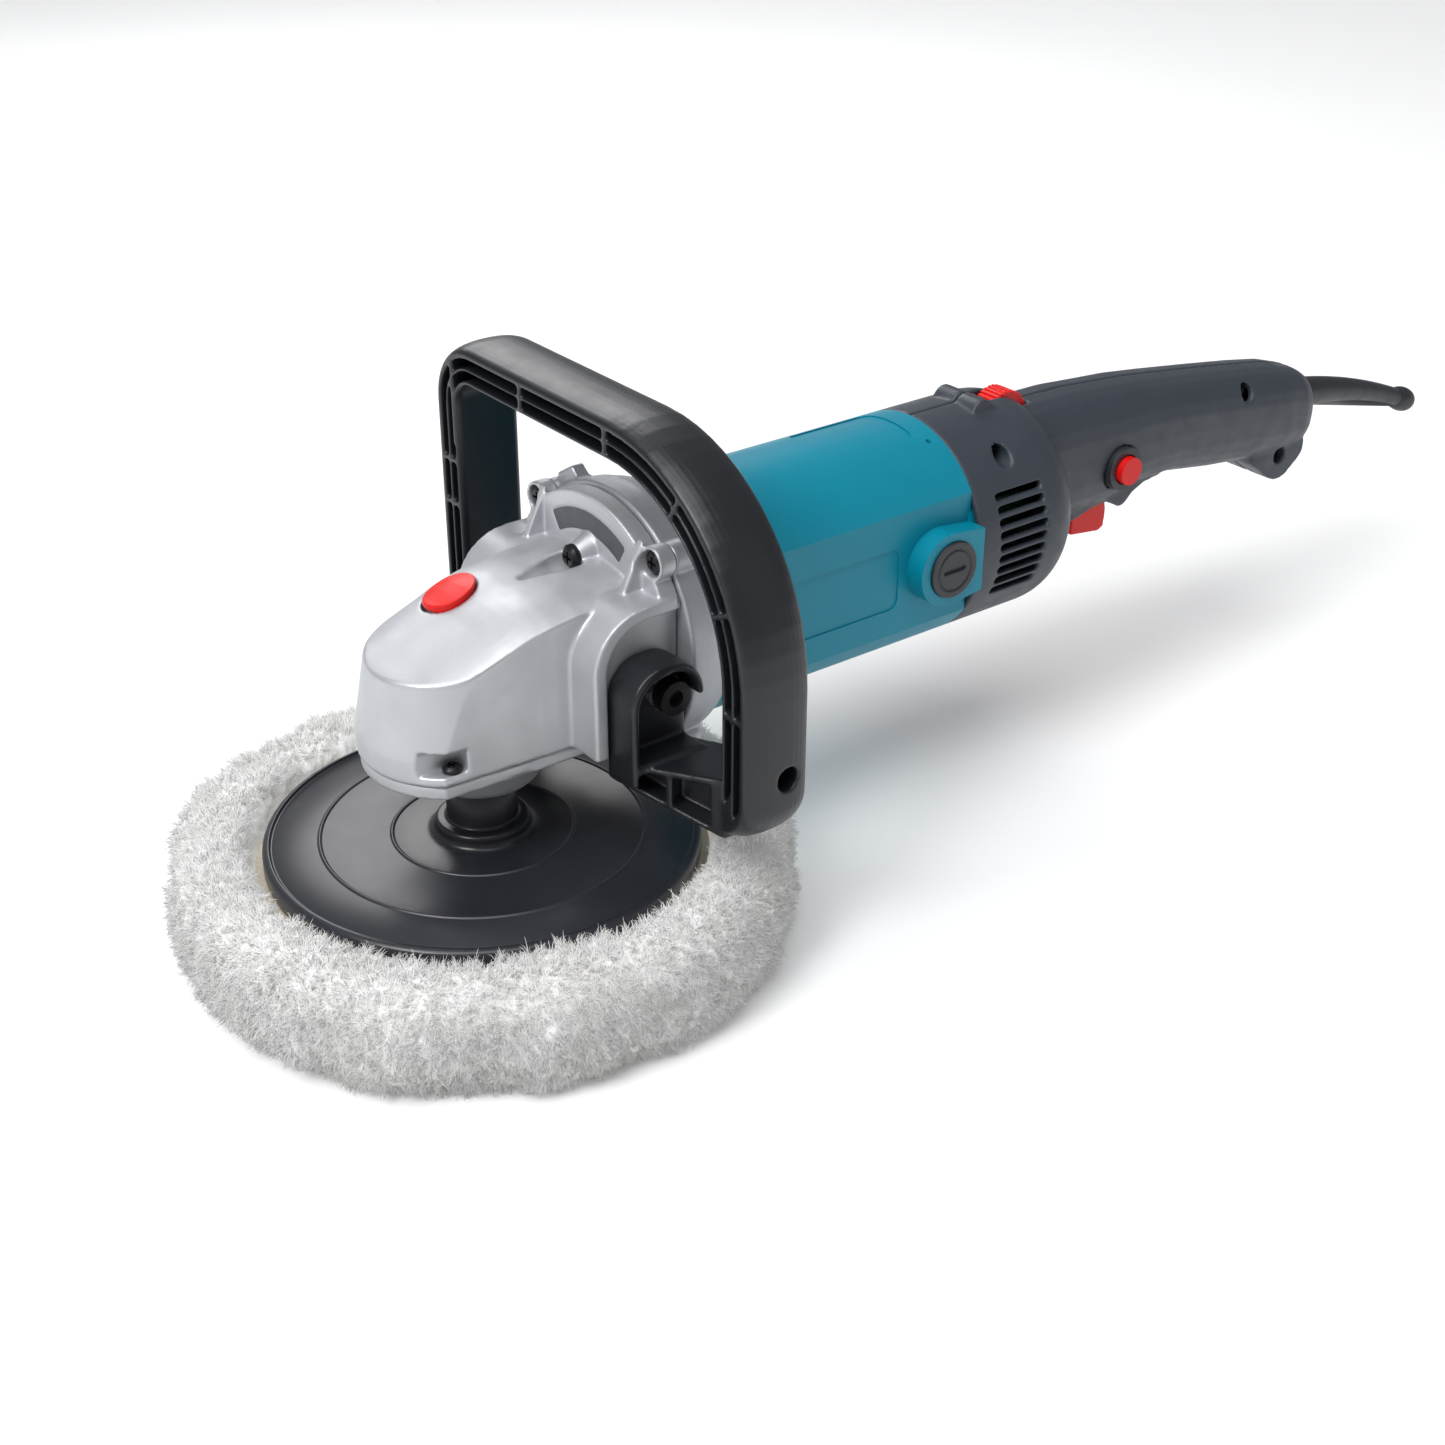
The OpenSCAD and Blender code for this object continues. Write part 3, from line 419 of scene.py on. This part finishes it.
def wool_profile():
    """The skin under the pile, from the middle of the underside round to the inside of the lip."""
    r = pad_r - 3.0 * mm
    lip = plate_r + 4.5 * mm
    top = pad_h - 2.4 * mm
    inner = 0.030
    points = [(9 * mm, 0.6 * mm)]
    points += [(x, 0.6 * mm) for x in np.linspace(20 * mm, r - 16 * mm, 22)]
    points += arc(r - 15 * mm, 15.6 * mm, 15 * mm, -90, 0, 14)
    points += arc(r - 15 * mm, top - 15 * mm, 15 * mm, 0, 90, 14)
    points += arc(lip + 9 * mm, top - 9 * mm, 9 * mm, 90, 180, 10)
    points += [(lip, z) for z in np.linspace(top - 10 * mm, 22.5 * mm, 8)]
    points += [(x, 22 * mm) for x in np.linspace(lip - 3 * mm, inner, 8)]
    points += [(9 * mm, 22 * mm)]
    return points


def skin_offset(p):
    """How far the skin swells at a point: folds and lumps of the fleece."""
    big = noise.fractal(p * 45.0, 1.0, 2.0, 3)
    small = noise.fractal(p * 190.0, 0.8, 2.2, 3)
    return (3.4 * big + 2.0 * small) * mm


def wool_skin():
    """The closed, lumpy skin that the fibres stand on: its points, their normals and the faces."""
    profile = wool_profile()
    points, faces = lathe(profile, 560)
    count = len(profile)
    shape = points.reshape(-1, count, 3)
    # outward normals from the neighbours along and around the profile
    along = np.roll(shape, -1, 1) - np.roll(shape, 1, 1)
    around = np.roll(shape, -1, 0) - np.roll(shape, 1, 0)
    normals = np.cross(around, along)
    normals /= np.linalg.norm(normals, axis=2, keepdims=True) + 1e-12
    flat = shape.reshape(-1, 3)
    flat_normals = normals.reshape(-1, 3)
    radius = np.hypot(flat[:, 0], flat[:, 1])
    loose = np.clip((flat[:, 2] - 2 * mm) / (6 * mm), 0, 1)
    loose *= np.clip((radius - plate_r) / (4 * mm), 0, 1)
    swell = np.array([skin_offset(Vector(p)) for p in flat]) * loose
    moved = flat + flat_normals * swell[:, None]
    moved[:, 2] = np.maximum(moved[:, 2], 0.3 * mm)
    return moved, flat_normals, faces


def wool_fibres(skin, normals, faces):
    """Curved, tapered fibres gathered into locks that lean together."""
    a, b, c, d = (skin[faces[:, k]] for k in range(4))
    middle = (a + b + c + d) / 4
    face_normal = normals[faces[:, 0]]
    area = np.linalg.norm(np.cross(c - a, d - b), axis=1) / 2
    middle_r = np.hypot(middle[:, 0], middle[:, 1])
    wanted = (middle_r > plate_r + 7 * mm) & (middle[:, 2] > 1.2 * mm)
    outer_low = (middle_r > pad_r - 26 * mm) & (middle[:, 2] > 0.2 * mm) & (face_normal[:, 2] < 0.5)
    weight = area * (wanted | outer_low)
    weight /= weight.sum()

    def scatter(count):
        pick = rng.choice(len(faces), count, p=weight)
        u, v = rng.random((2, count, 1))
        place = (a[pick] * (1 - u) + b[pick] * u) * (1 - v) + (d[pick] * (1 - u) + c[pick] * u) * v
        return place, face_normal[pick]

    lock_root, lock_normal = scatter(LOCKS)
    lean = np.array([noise.noise_vector(Vector(p) * 60.0) for p in lock_root])
    lean += 0.6 * rng.normal(size=lean.shape)
    lock_way = lock_normal * 0.55 + 0.95 * lean + np.array([0, 0, -0.12])
    lock_way /= np.linalg.norm(lock_way, axis=1, keepdims=True)
    lock_length = PILE * rng.uniform(0.75, 1.25, (LOCKS, 1))
    lock_tip = lock_root + lock_way * lock_length

    root, normal = scatter(FIBRES)
    near = nearest(lock_root, root)
    own_tip = root + (normal * 0.6 + 0.6 * rng.normal(size=root.shape)) * PILE * 0.9
    gather = rng.uniform(0.3, 0.8, (FIBRES, 1))
    tip = own_tip * (1 - gather) + lock_tip[near] * gather
    tip += 0.8 * mm * rng.normal(size=tip.shape)
    bulge = (root + tip) / 2 + normal * 1.8 * mm + 0.6 * mm * rng.normal(size=tip.shape)
    return root - normal * 0.6 * mm, bulge, tip, normal


def nearest(targets, points):
    """Index of the nearest target to each point."""
    tree = KDTree(len(targets))
    for i, t in enumerate(targets):
        tree.insert(t, i)
    tree.balance()
    return np.array([tree.find(p)[1] for p in points])


def fibre_mesh(root, bulge, tip):
    """Three-sided tapered tubes along curves through root, bulge and tip."""
    count = len(root)
    rings = [(0.0, 1.0), (0.35, 1.0), (0.7, 0.75)]
    axis = tip - root
    axis /= np.linalg.norm(axis, axis=1, keepdims=True) + 1e-12
    side = np.cross(axis, rng.normal(size=axis.shape))
    side /= np.linalg.norm(side, axis=1, keepdims=True) + 1e-12
    other = np.cross(axis, side)
    points = []
    for t, width in rings:
        centre = root * (1 - t) ** 2 + bulge * 2 * t * (1 - t) + tip * t * t
        for k in range(3):
            angle = 2 * math.pi * k / 3
            offset = side * math.cos(angle) + other * math.sin(angle)
            points.append(centre + offset * FIBRE_R * width)
    points.append(tip)
    points = np.stack(points, 1)
    points[:, :, 2] = np.maximum(points[:, :, 2], 0.05 * mm)
    one = [(0, 2, 1)]
    for ring in range(2):
        for k in range(3):
            p, q = ring * 3 + k, ring * 3 + (k + 1) % 3
            one += [(p, q, q + 3), (p, q + 3, p + 3)]
    one += [(6, 7, 9), (7, 8, 9), (8, 6, 9)]
    faces = np.array(one)[None] + (np.arange(count) * 10)[:, None, None]
    return points.reshape(-1, 3), faces.reshape(-1, 3)


def shade_like_skin(obj, normal, points):
    """Turns the fibres' shading normals mostly to the skin's, so that the fleece reads as one soft mass."""
    own = points.reshape(len(normal), -1, 3)
    own = own - own.mean(1, keepdims=True)
    own /= np.linalg.norm(own, axis=2, keepdims=True) + 1e-9
    lean = normal[:, None, :] + 0.35 * own
    lean /= np.linalg.norm(lean, axis=2, keepdims=True) + 1e-9
    obj.data.normals_split_custom_set_from_vertices(lean.reshape(-1, 3))


skin, skin_normals, skin_faces = wool_skin()
wool = new_piece("wool_skin", skin, skin_faces, "lambswool", "spindle_body", ["wool_pad"])
fibre_curves = wool_fibres(skin, skin_normals, skin_faces)
for batch in range(BATCHES):
    part = slice(batch * FIBRES // BATCHES, (batch + 1) * FIBRES // BATCHES)
    root, bulge, tip, normal = (c[part] for c in fibre_curves)
    fibre_points, fibre_faces = fibre_mesh(root, bulge, tip)
    locks = new_piece(
        f"wool_locks_{batch + 1}", fibre_points, fibre_faces, "lambswool", "spindle_body", ()
    )
    shade_like_skin(locks, normal, fibre_points)


# ---------- backing plate ----------


def plate_profile():
    """The glossy plate: rolled rim, two embossed rings, a raised collar and the hub."""
    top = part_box("backing_plate")[1].z
    face = 38 * mm
    hub_r = 13 * mm
    collar_r = 17.5 * mm
    points = [(7.05 * mm, 30 * mm)]
    points += [(x, 30 * mm) for x in np.linspace(20 * mm, plate_r - 1.5 * mm, 8)]
    points += arc(plate_r - 1.5 * mm, 31.5 * mm, 1.5 * mm, -80, 0, 4)
    points += arc(plate_r - 2 * mm, face - 2 * mm, 2 * mm, 0, 90, 6)
    points += arc(plate_r - 3.4 * mm, face + 0.1 * mm, 0.8 * mm, 20, -140, 5)

    def ring(r):
        height = face + 0.5 * mm * (plate_r - r) / (60 * mm)
        return [(r + 1.0 * mm, height)] + arc(r, height - 0.1 * mm, 0.6 * mm, 20, 160, 6) + [
            (r - 1.0 * mm, height)
        ]

    points += ring(59.3 * mm) + ring(33.2 * mm)
    points += [(collar_r + 4 * mm, face + 0.6 * mm), (collar_r + 1.2 * mm, face + 1.0 * mm)]
    points += [(collar_r, face + 2.4 * mm), (collar_r, face + 4.3 * mm)]
    points += arc(collar_r - 1.8 * mm, face + 4.6 * mm, 1.8 * mm, 0, 90, 5)
    points += arc(hub_r + 1.4 * mm, face + 7.8 * mm, 1.4 * mm, 270, 180, 4)
    points += [(hub_r, top - 0.8 * mm), (hub_r - 0.8 * mm, top), (7.05 * mm, top)]
    return points


plate_points, plate_faces = lathe(plate_profile(), 256)
plate = new_piece(
    "plate", plate_points, plate_faces, "gloss_black", "spindle_body", ["backing_plate"]
)


# ---------- cord guard ----------

GUARD_BORE = 2.9        # millimetres
BEAD_START = 0.955      # where along the sleeve the bead at its free end begins
GUARD_END = 1.06        # where the bead ends
BEAD_NECK_R = 4.2
BEAD_SWELL = 1.7
BEAD_LIP_R = 3.6


def guard_path(t):
    """Centre line of the cord guard: out of the grip's end, then bending downwards."""
    return Vector((426 + 102 * t, 0, 109 - 5 * t - 18 * t * t)) * mm


def guard_radius(t):
    """The sleeve's taper, and then the round bead."""
    if t > BEAD_START:
        along = (t - BEAD_START) / (GUARD_END - BEAD_START)
        return BEAD_NECK_R + BEAD_SWELL * math.sqrt(max(0.0, math.sin(math.pi * along)))
    return 8 - 5 * t + 1.2 * t * t


def ring_around(path, t, r, sides):
    """Points of a circle of radius r (millimetres) square to a path at t."""
    here = path(t)
    forward = (path(t + 0.001) - here).normalized()
    across = Vector((0, 1, 0))
    up = across.cross(forward)
    angles = [2 * math.pi * j / sides for j in range(sides)]
    return [here + (across * math.cos(a) + up * -math.sin(a)) * r * mm for a in angles]


def guard_mesh():
    """The tapered rubber sleeve with a bead at its free end and a bore for the cord."""
    rings, sides = 150, 40
    points = []
    for i in range(rings):
        t = GUARD_END * i / rings
        points += ring_around(guard_path, t, guard_radius(t), sides)
    points += ring_around(guard_path, GUARD_END, BEAD_LIP_R, sides)
    points += ring_around(guard_path, GUARD_END, GUARD_BORE, sides)
    points += ring_around(guard_path, 0.0, GUARD_BORE, sides)
    rows = rings + 3
    faces = []
    for i in range(rows):
        next_row = (i + 1) % rows
        for j in range(sides):
            k = (j + 1) % sides
            faces.append((i * sides + j, i * sides + k, next_row * sides + k, next_row * sides + j))
    return points, faces


guard_points, guard_faces = guard_mesh()
guard = new_piece("guard_sleeve", guard_points, guard_faces, "rubber", "housing", ["cord_guard"])


# ---------- springs that a joint presses ----------


def pressed_spring(node, turns, wire_r):
    """A round-wire coil with even turns in place of a node's; it rides on the housing."""
    low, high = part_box(node)
    middle = (low + high) / 2
    coil_r = (high.x - low.x) / 2 - wire_r
    bottom, top = low.z + wire_r, high.z - wire_r
    steps_per_turn, sides = 40, 10
    steps = turns * steps_per_turn
    points = []
    for i in range(steps + 1):
        turn = 2 * math.pi * i / steps_per_turn
        out = Vector((math.cos(turn), math.sin(turn), 0))
        centre = Vector((middle.x, middle.y, bottom + (top - bottom) * i / steps)) + out * coil_r
        for j in range(sides):
            a = 2 * math.pi * j / sides
            points.append(centre + (out * math.cos(a) + Vector((0, 0, math.sin(a)))) * wire_r)
    faces = []
    for i in range(steps):
        for j in range(sides):
            k = (j + 1) % sides
            faces.append((i * sides + j, i * sides + k, (i + 1) * sides + k, (i + 1) * sides + j))
    last = steps * sides
    for j in range(1, sides - 2, 2):
        faces.append((j + 2, j + 1, j, 0))
        faces.append((last, last + j, last + j + 1, last + j + 2))
    spring = new_piece(f"{node}_coil", points, faces, "steel", "housing", [node])
    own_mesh(spring)


pressed_spring("lock_spring", 2, 0.35 * mm)
pressed_spring("trigger_spring", 6, 0.4 * mm)


# ---------- CAD nodes that stay ----------

by_look = {
    "cast_aluminium": ["gear_case", "bearing_box"],
    "bell_aluminium": ["gear_cover"],
    "dark_inlay": ["flange_band"],
    "cream_felt": ["pad_backing"],
    "steel": [
        "spindle", "lock_pin", "lock_spring", "gear_clip", "gear_key", "lower_bearing",
        "upper_bearing", "front_bearing", "rear_bearing", "armature_shaft", "pinion_nut",
        "brush_springs", "trigger_spring", "loop_handle_washers", "cord_clamp_screws",
        "bearing_retainer",
    ],
    "gear_steel": ["output_gear", "pinion"],
    "black_screw": [
        "gear_case_screws", "retainer_screw", "bearing_box_screws", "loop_handle_bolts",
        "handle_screws",
    ],
    "rubber": ["spindle_seal", "rear_bearing_sleeve"],
    "loop_plastic": ["loop_handle"],
    "black_plastic": [
        "lock_on_collar", "brush_caps", "switch_body", "baffle_ring", "fan", "cord_clamp",
    ],
    "teal_plastic": ["motor_housing"],
    "charcoal_plastic": ["handle_left", "handle_right"],
    "red_plastic": ["spindle_lock_button", "trigger", "lock_on_button", "speed_dial"],
    "laminated_steel": ["armature_core", "stator_core"],
    "copper": ["armature_windings", "field_windings", "commutator"],
    "brass": ["brush_holders"],
    "carbon": ["carbon_brushes"],
    "green_board": ["speed_module"],
    "film_capacitor": ["capacitor"],
    "ivory_plastic": ["terminal_block"],
}
for look, names in by_look.items():
    for name in names:
        paint(nodes[name], look)

casting = head_casting()
paint(casting, "cast_aluminium")
soften(casting, 0.6, 12)
soften("bearing_box", 0.6, 4)
soften("gear_cover", 0.8, 4)
soften("loop_handle", 0.6, 11)
chamfer("motor_housing", 1.3, 3, 14)
soften("handle_left", 0.7, 10)
soften("handle_right", 0.7, 10)
soften("spindle_lock_button", 0.3, 4)
soften("trigger", 0.35, 6)
soften("brush_caps", 0.3, 3)
soften("speed_dial", 0.25, 3)
for name in ("gear_case_screws", "retainer_screw", "bearing_box_screws", "handle_screws",
             "loop_handle_bolts", "lock_on_collar", "lock_on_button", "spindle", "pad_backing"):
    chamfer(name, 0.35)


# ---------- floor, light and camera ----------


def add_floor():
    """A wide pale floor."""
    mesh = bpy.data.meshes.new("floor")
    size = 14.0
    mesh.from_pydata(
        [(-size, -size, 0), (size, -size, 0), (size, size, 0), (-size, size, 0)], [], [(0, 1, 2, 3)]
    )
    obj = bpy.data.objects.new("floor", mesh)
    bpy.context.scene.collection.objects.link(obj)
    looks["floor"] = surface("floor", (0.93, 0.93, 0.93, 1), 0.85, mottle=0.01, mottle_scale=2,
                             grain=0.05 * mm, grain_scale=300, specular=0.1)
    mesh.materials.append(looks["floor"])


def add_area(name, place, target, size, power):
    """A round soft lamp that points at a target."""
    data = bpy.data.lights.new(name, "AREA")
    data.shape = "DISK"
    data.size = size
    data.energy = power
    obj = bpy.data.objects.new(name, data)
    obj.location = place
    way = Vector(target) - Vector(place)
    obj.rotation_euler = way.to_track_quat("-Z", "Y").to_euler()
    bpy.context.scene.collection.objects.link(obj)


def add_sky(way, power, spread_degrees):
    """A wide, even light over the whole floor."""
    data = bpy.data.lights.new("sky", "SUN")
    data.energy = power
    data.angle = math.radians(spread_degrees)
    obj = bpy.data.objects.new("sky", data)
    obj.rotation_euler = Vector(way).to_track_quat("-Z", "Y").to_euler()
    bpy.context.scene.collection.objects.link(obj)


CAMERA_TURNS = (-37.736, 29.073, 0.293)      # azimuth, elevation and roll in degrees
CAMERA_PLACE = Vector((-335.56, -576.48, 450.0)) * mm
CAMERA_LENS = 52.85


def add_camera():
    """The photograph's viewpoint: from the head's side, in front and above."""
    azimuth, elevation, roll = (math.radians(a) for a in CAMERA_TURNS)
    back = Vector((
        math.sin(azimuth) * math.cos(elevation),
        -math.cos(azimuth) * math.cos(elevation),
        math.sin(elevation),
    ))
    right = (-back).cross(Vector((0, 0, 1))).normalized()
    up = right.cross(-back)
    turned_right = math.cos(roll) * right + math.sin(roll) * up
    turned_up = -math.sin(roll) * right + math.cos(roll) * up
    data = bpy.data.cameras.new("camera")
    data.sensor_width = 36
    data.lens = CAMERA_LENS
    data.clip_start = 0.01
    obj = bpy.data.objects.new("camera", data)
    axes = Matrix((turned_right, turned_up, back)).transposed().to_4x4()
    axes.translation = CAMERA_PLACE
    obj.matrix_world = axes
    bpy.context.scene.collection.objects.link(obj)
    bpy.context.scene.camera = obj


add_floor()
middle = (0.15, 0, 0.08)
add_area("key", (-1.1, -0.25, 1.2), middle, 0.7, 14)
add_area("fill", (0.9, -1.3, 0.9), middle, 1.2, 0.8)
add_area("rim", (0.5, 1.2, 1.0), middle, 0.9, 8)
add_sky((0.25, 0.1, -1), 1.8, 50)
world = bpy.data.worlds.new("studio")
world.use_nodes = True
world.node_tree.nodes["Background"].inputs["Color"].default_value = (0.95, 0.97, 1.0, 1)
world.node_tree.nodes["Background"].inputs["Strength"].default_value = 0.26
bpy.context.scene.world = world
bpy.context.scene.view_settings.view_transform = "Standard"
add_camera()
